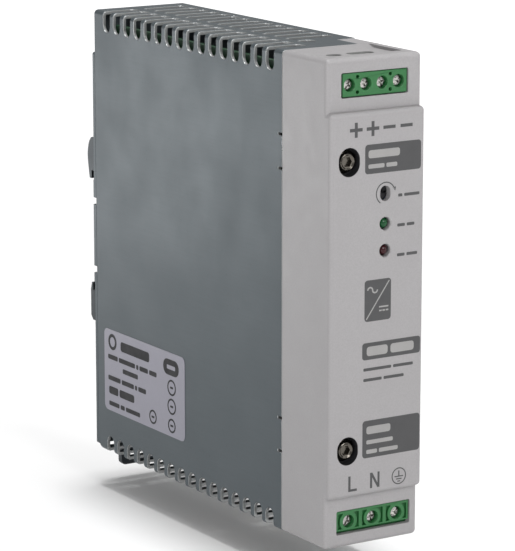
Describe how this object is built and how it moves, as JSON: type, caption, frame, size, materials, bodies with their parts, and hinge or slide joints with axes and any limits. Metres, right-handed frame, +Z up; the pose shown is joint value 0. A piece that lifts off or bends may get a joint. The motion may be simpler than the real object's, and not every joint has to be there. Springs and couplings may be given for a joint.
{
  "type": "din rail power supply",
  "caption": "Slim grey mains power supply that hooks and latches onto a top-hat rail, with vented steel case, screw terminals at both ends, an adjuster and indicator lamps.",
  "frame": {"origin": "on the rail seat at the back of the case, at mid width and level with the rail's centreline", "axes": "+X to the right seen from the front, +Y out of the back towards the rail, +Z up"},
  "size_m": [0.0297, 0.1297, 0.1372],
  "materials": {
    "case_steel": "satin, dark silver grey",
    "bracket_steel": "satin, dark grey",
    "bright_steel": "zinc-plated, bright",
    "cover_plastic": "fine matt texture, light grey",
    "terminal_plastic": "smooth, green",
    "green_lens": "clear gloss",
    "red_lens": "clear gloss, unlit dark red",
    "trimmer_plastic": "smooth",
    "white_ceramic": "smooth",
    "board": "glass-fibre laminate, green mask",
    "insulation": "thin film, matt",
    "ferrite": "unglazed ferrite, near black",
    "winding_tape": "yellow polyester tape",
    "copper_winding": "enamelled copper wire",
    "capacitor_sleeve": "shrink sleeve",
    "heat_sink": "plain extruded",
    "epoxy": "moulded epoxy",
    "label_film": "smooth printed film"
  },
  "bodies": {
    "supply": {"housing_shell": "case_steel", "side_cover": "case_steel", "rear_plate": "case_steel", "rail_hook": "bracket_steel", "latch_guide": "bracket_steel", "side_screw_upper_1": "bright_steel", "side_screw_upper_2": "bright_steel", "side_screw_lower_1": "bright_steel", "side_screw_lower_2": "bright_steel", "hook_rivet_left": "bright_steel", "hook_rivet_right": "bright_steel", "latch_spring": "bright_steel", "cover_screw_upper": "bright_steel", "cover_screw_lower": "bright_steel", "board_standoff_upper": "bright_steel", "board_standoff_lower": "bright_steel", "board_screw_upper": "bright_steel", "board_screw_lower": "bright_steel", "front_cover": "cover_plastic", "output_terminal_block": "terminal_plastic", "input_terminal_block": "terminal_plastic", "green_indicator_lamp": "green_lens", "red_indicator_lamp": "red_lens", "voltage_trimmer_body": "trimmer_plastic", "fuse": "white_ceramic", "indicator_board": "board", "output_terminal_board": "board", "input_terminal_board": "board", "main_circuit_board": "board", "insulating_sheet": "insulation", "transformer_core": "ferrite", "transformer_bobbin": "winding_tape", "mains_filter_capacitor": "winding_tape", "common_mode_choke": "copper_winding", "output_choke": "copper_winding", "bulk_capacitor": "capacitor_sleeve", "output_capacitor_1": "capacitor_sleeve", "output_capacitor_2": "capacitor_sleeve", "transistor_heat_sink": "heat_sink", "rectifier_heat_sink": "heat_sink", "switching_transistor": "epoxy", "output_rectifier": "epoxy", "bridge_rectifier": "epoxy", "rating_label": "label_film"},
    "latch": {"rail_latch": "bracket_steel"},
    "trimmer_rotor": {"voltage_trimmer_rotor": "epoxy"},
    "output_screw_1": {"output_terminal_screw_1": "bright_steel"},
    "output_clamp_1": {"output_wire_clamp_1": "bright_steel"},
    "output_screw_2": {"output_terminal_screw_2": "bright_steel"},
    "output_clamp_2": {"output_wire_clamp_2": "bright_steel"},
    "output_screw_3": {"output_terminal_screw_3": "bright_steel"},
    "output_clamp_3": {"output_wire_clamp_3": "bright_steel"},
    "output_screw_4": {"output_terminal_screw_4": "bright_steel"},
    "output_clamp_4": {"output_wire_clamp_4": "bright_steel"},
    "input_screw_1": {"input_terminal_screw_1": "bright_steel"},
    "input_clamp_1": {"input_wire_clamp_1": "bright_steel"},
    "input_screw_2": {"input_terminal_screw_2": "bright_steel"},
    "input_clamp_2": {"input_wire_clamp_2": "bright_steel"},
    "input_screw_3": {"input_terminal_screw_3": "bright_steel"},
    "input_clamp_3": {"input_wire_clamp_3": "bright_steel"}
  },
  "joints": [
    {"name": "latch_slide", "type": "slide", "parent": "supply", "child": "latch", "axis": [0, 0, -1], "range_m": [0, 0.004], "stiffness_N_per_m": 1200, "springref_m": -0.003, "deforming": ["latch_spring"]},
    {"name": "voltage_adjust", "type": "hinge", "parent": "supply", "child": "trimmer_rotor", "pos_m": [0.00235, -0.1222, 0.0292], "axis": [0, 1, 0], "range_deg": [-130, 130]},
    {"name": "output_screw_1_turn", "type": "hinge", "parent": "supply", "child": "output_screw_1", "pos_m": [-0.00755, -0.12, 0.0579], "axis": [0, 1, 0], "range_deg": [0, 1296]},
    {"name": "output_clamp_1_slide", "type": "slide", "parent": "supply", "child": "output_clamp_1", "axis": [0, -1, 0], "range_m": [0, 0.0018]},
    {"name": "output_screw_2_turn", "type": "hinge", "parent": "supply", "child": "output_screw_2", "pos_m": [-0.00247, -0.12, 0.0579], "axis": [0, 1, 0], "range_deg": [0, 1296]},
    {"name": "output_clamp_2_slide", "type": "slide", "parent": "supply", "child": "output_clamp_2", "axis": [0, -1, 0], "range_m": [0, 0.0018]},
    {"name": "output_screw_3_turn", "type": "hinge", "parent": "supply", "child": "output_screw_3", "pos_m": [0.00261, -0.12, 0.0579], "axis": [0, 1, 0], "range_deg": [0, 1296]},
    {"name": "output_clamp_3_slide", "type": "slide", "parent": "supply", "child": "output_clamp_3", "axis": [0, -1, 0], "range_m": [0, 0.0018]},
    {"name": "output_screw_4_turn", "type": "hinge", "parent": "supply", "child": "output_screw_4", "pos_m": [0.00769, -0.12, 0.0579], "axis": [0, 1, 0], "range_deg": [0, 1296]},
    {"name": "output_clamp_4_slide", "type": "slide", "parent": "supply", "child": "output_clamp_4", "axis": [0, -1, 0], "range_m": [0, 0.0018]},
    {"name": "input_screw_1_turn", "type": "hinge", "parent": "supply", "child": "input_screw_1", "pos_m": [-0.007, -0.12, -0.0582], "axis": [0, 1, 0], "range_deg": [0, 1296]},
    {"name": "input_clamp_1_slide", "type": "slide", "parent": "supply", "child": "input_clamp_1", "axis": [0, -1, 0], "range_m": [0, 0.0018]},
    {"name": "input_screw_2_turn", "type": "hinge", "parent": "supply", "child": "input_screw_2", "pos_m": [0.00062, -0.12, -0.0582], "axis": [0, 1, 0], "range_deg": [0, 1296]},
    {"name": "input_clamp_2_slide", "type": "slide", "parent": "supply", "child": "input_clamp_2", "axis": [0, -1, 0], "range_m": [0, 0.0018]},
    {"name": "input_screw_3_turn", "type": "hinge", "parent": "supply", "child": "input_screw_3", "pos_m": [0.00824, -0.12, -0.0582], "axis": [0, 1, 0], "range_deg": [0, 1296]},
    {"name": "input_clamp_3_slide", "type": "slide", "parent": "supply", "child": "input_clamp_3", "axis": [0, -1, 0], "range_m": [0, 0.0018]}
  ],
  "couplings": [
    {"joint": "output_screw_1_turn", "follows": "output_clamp_1_slide", "rad_per_m": 12566},
    {"joint": "output_screw_2_turn", "follows": "output_clamp_2_slide", "rad_per_m": 12566},
    {"joint": "output_screw_3_turn", "follows": "output_clamp_3_slide", "rad_per_m": 12566},
    {"joint": "output_screw_4_turn", "follows": "output_clamp_4_slide", "rad_per_m": 12566},
    {"joint": "input_screw_1_turn", "follows": "input_clamp_1_slide", "rad_per_m": 12566},
    {"joint": "input_screw_2_turn", "follows": "input_clamp_2_slide", "rad_per_m": 12566},
    {"joint": "input_screw_3_turn", "follows": "input_clamp_3_slide", "rad_per_m": 12566}
  ]
}
